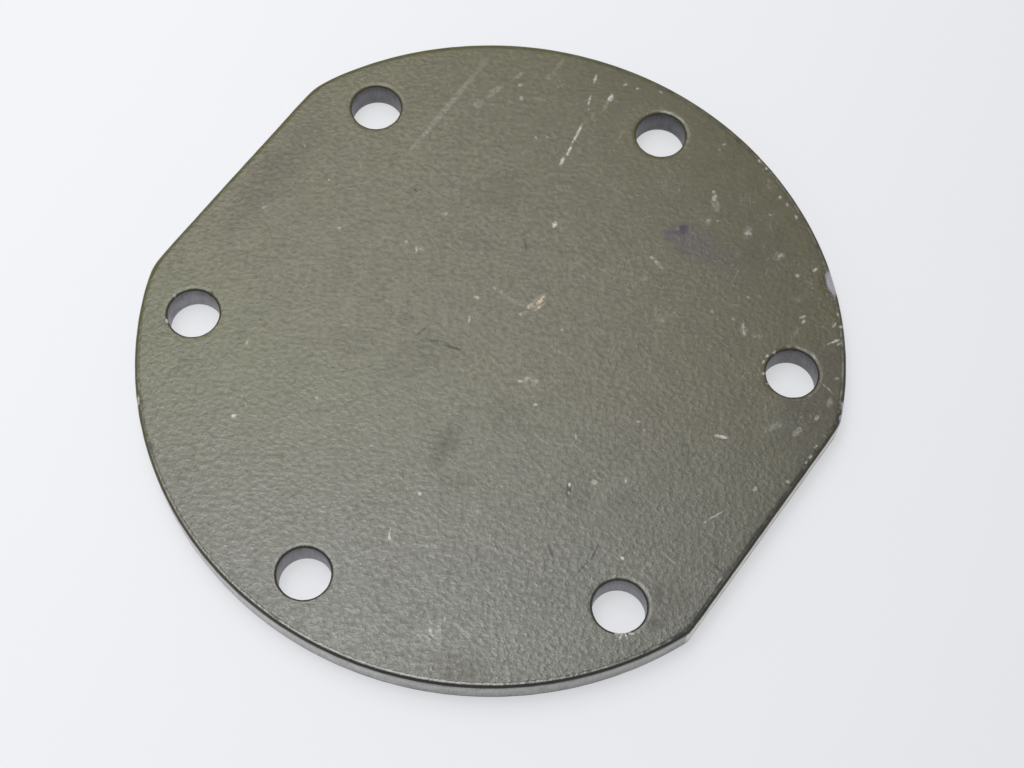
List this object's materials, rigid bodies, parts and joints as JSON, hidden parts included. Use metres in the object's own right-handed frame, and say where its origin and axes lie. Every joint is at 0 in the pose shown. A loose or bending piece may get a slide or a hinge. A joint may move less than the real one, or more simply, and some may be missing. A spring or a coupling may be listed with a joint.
{
  "type": "round cover plate",
  "caption": "Flat round steel cover plate with a flat on each side and a ring of bolt holes, painted on its faces, with bare sheared edges.",
  "frame": {"origin": "centre of the plate's underside, the seating face", "axes": "+Z out through the painted outer face, +X across the flats, +Y along the flats"},
  "size_m": [0.116, 0.125, 0.006],
  "materials": {
    "plate": "satin olive-drab paint with a fine leathery texture, worn and scratched, over steel that is bare on the sheared walls"
  },
  "bodies": {
    "root": {"cover_plate": "plate"}
  },
  "joints": []
}
